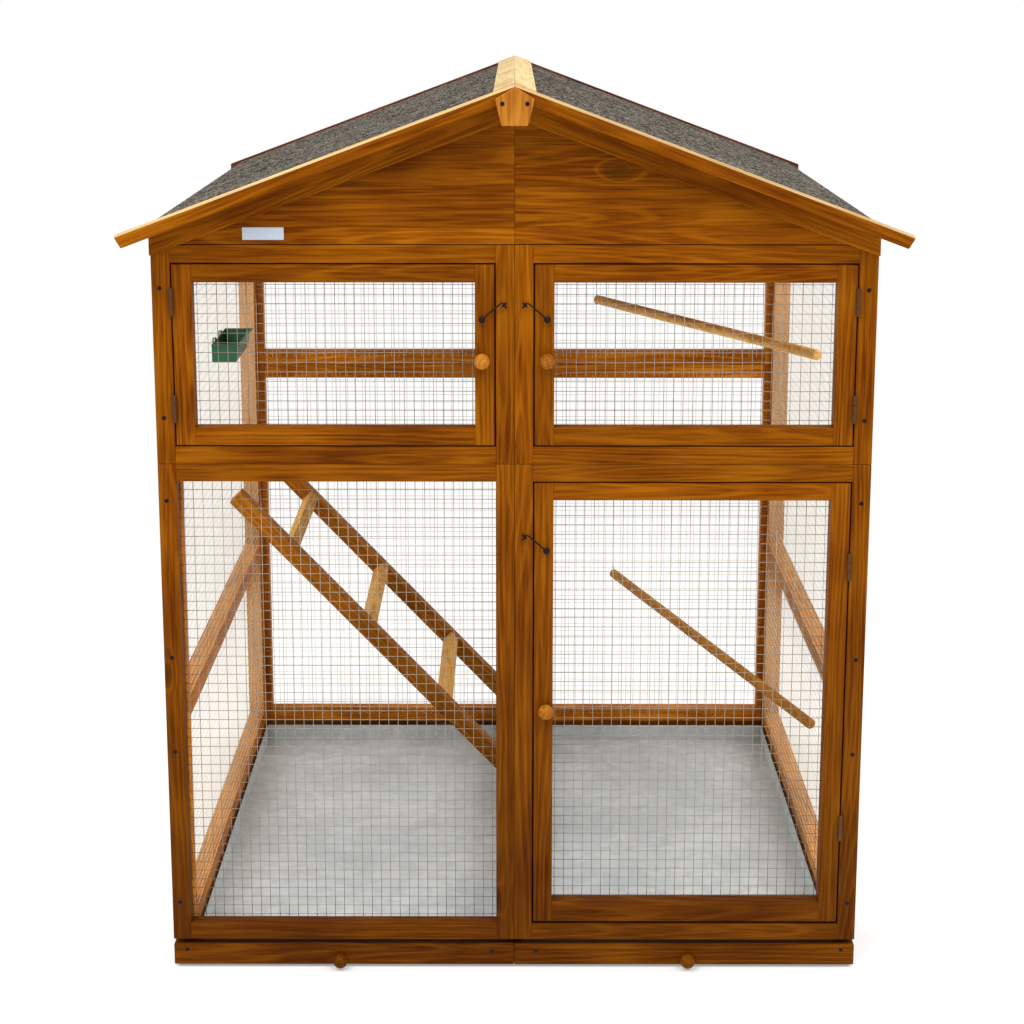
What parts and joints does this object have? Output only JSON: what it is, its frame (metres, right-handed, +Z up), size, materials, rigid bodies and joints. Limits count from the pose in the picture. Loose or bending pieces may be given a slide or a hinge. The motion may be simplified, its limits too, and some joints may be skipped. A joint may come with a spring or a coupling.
{
  "type": "bird aviary",
  "caption": "Garden aviary of framed wire-mesh panels under a felted gable roof, with hinged doors, wire hooks, pull-out trays, perches, a ladder and a hanging feeder",
  "frame": {"origin": "on the ground, under the middle of the cabin", "axes": "+X to the right as seen from the front, +Y from the front to the back, +Z up"},
  "size_m": [1.006, 1.0726, 1.1948],
  "materials": {
    "stained_pine": "amber-brown stained softwood with a satin varnish",
    "dark_stained_pine": "dark brown stained softwood",
    "pale_pine": "bare pale softwood",
    "beech": "light varnished wood",
    "roofing_felt": "grey mineral-faced roofing felt",
    "galvanised_wire": "galvanised welded wire mesh",
    "galvanised_sheet": "galvanised steel sheet",
    "black_steel": "dark plated steel wire",
    "green_plastic": "moulded green plastic"
  },
  "bodies": {
    "cabin": {"front_frame_lower_left": "stained_pine", "front_frame_lower_right": "stained_pine", "front_frame_upper_left": "stained_pine", "front_frame_upper_right": "stained_pine", "side_frame_left_lower": "stained_pine", "side_frame_left_upper": "stained_pine", "side_frame_right_lower": "stained_pine", "side_frame_right_upper": "stained_pine", "back_frame_lower": "stained_pine", "back_frame_upper": "stained_pine", "net_lower_left": "galvanised_wire", "net_side_left_lower": "galvanised_wire", "net_side_left_upper": "galvanised_wire", "net_side_right_lower": "galvanised_wire", "net_side_right_upper": "galvanised_wire", "net_back_lower": "galvanised_wire", "net_back_upper": "galvanised_wire", "gable_front_left": "stained_pine", "gable_front_right": "stained_pine", "gable_rear_left": "stained_pine", "gable_rear_right": "stained_pine", "roof_board_left": "stained_pine", "roof_board_right": "stained_pine", "roof_felt_left": "roofing_felt", "roof_felt_right": "roofing_felt", "fascia_front_left": "stained_pine", "fascia_front_right": "stained_pine", "fascia_rear_left": "dark_stained_pine", "fascia_rear_right": "dark_stained_pine", "rake_trim_left": "stained_pine", "rake_trim_right": "stained_pine", "ridge_cap_left": "pale_pine", "ridge_cap_right": "pale_pine", "ridge_block": "beech", "base_runner_left": "stained_pine", "base_runner_right": "stained_pine", "base_runner_rear": "stained_pine", "base_runner_centre": "stained_pine", "perch_upper": "beech", "perch_lower": "beech", "ladder": "beech"},
    "door_upper_left": {"door_frame_upper_left": "stained_pine", "door_net_upper_left": "galvanised_wire", "door_knob_upper_left": "beech"},
    "door_upper_right": {"door_frame_upper_right": "stained_pine", "door_net_upper_right": "galvanised_wire", "door_knob_upper_right": "beech"},
    "door_lower_right": {"door_frame_lower_right": "stained_pine", "door_net_lower_right": "galvanised_wire", "door_knob_lower_right": "beech"},
    "hook_upper_left": {"door_hook_upper_left": "black_steel"},
    "hook_upper_right": {"door_hook_upper_right": "black_steel"},
    "hook_lower_right": {"door_hook_lower_right": "black_steel"},
    "drawer_left": {"tray_left": "galvanised_sheet", "tray_front_left": "stained_pine", "tray_knob_left": "beech"},
    "drawer_right": {"tray_right": "galvanised_sheet", "tray_front_right": "stained_pine", "tray_knob_right": "beech"},
    "feeder_cup": {"feeder": "green_plastic"}
  },
  "joints": [
    {"name": "door_upper_left_hinge", "type": "hinge", "parent": "cabin", "child": "door_upper_left", "pos_m": [-0.44, -0.4934, 0.847], "axis": [0, 0, -1], "range_deg": [0, 165]},
    {"name": "door_upper_right_hinge", "type": "hinge", "parent": "cabin", "child": "door_upper_right", "pos_m": [0.44, -0.4934, 0.847], "axis": [0, 0, 1], "range_deg": [0, 165]},
    {"name": "door_lower_right_hinge", "type": "hinge", "parent": "cabin", "child": "door_lower_right", "pos_m": [0.44, -0.4934, 0.373], "axis": [0, 0, 1], "range_deg": [0, 165]},
    {"name": "hook_upper_left_pivot", "type": "hinge", "parent": "door_upper_left", "child": "hook_upper_left", "pos_m": [-0.04215, -0.495, 0.8945], "axis": [0, -1, 0], "range_deg": [0, 100]},
    {"name": "hook_upper_right_pivot", "type": "hinge", "parent": "door_upper_right", "child": "hook_upper_right", "pos_m": [0.04215, -0.495, 0.8945], "axis": [0, 1, 0], "range_deg": [0, 100]},
    {"name": "hook_lower_right_pivot", "type": "hinge", "parent": "door_lower_right", "child": "hook_lower_right", "pos_m": [0.04215, -0.495, 0.589], "axis": [0, 1, 0], "range_deg": [0, 100]},
    {"name": "tray_left_slide", "type": "slide", "parent": "cabin", "child": "drawer_left", "axis": [0, -1, 0], "range_m": [0, 0.7]},
    {"name": "tray_right_slide", "type": "slide", "parent": "cabin", "child": "drawer_right", "axis": [0, -1, 0], "range_m": [0, 0.7]},
    {"name": "feeder_lift", "type": "slide", "parent": "cabin", "child": "feeder_cup", "axis": [0, 0, 1], "range_m": [0, 0.025]}
  ]
}
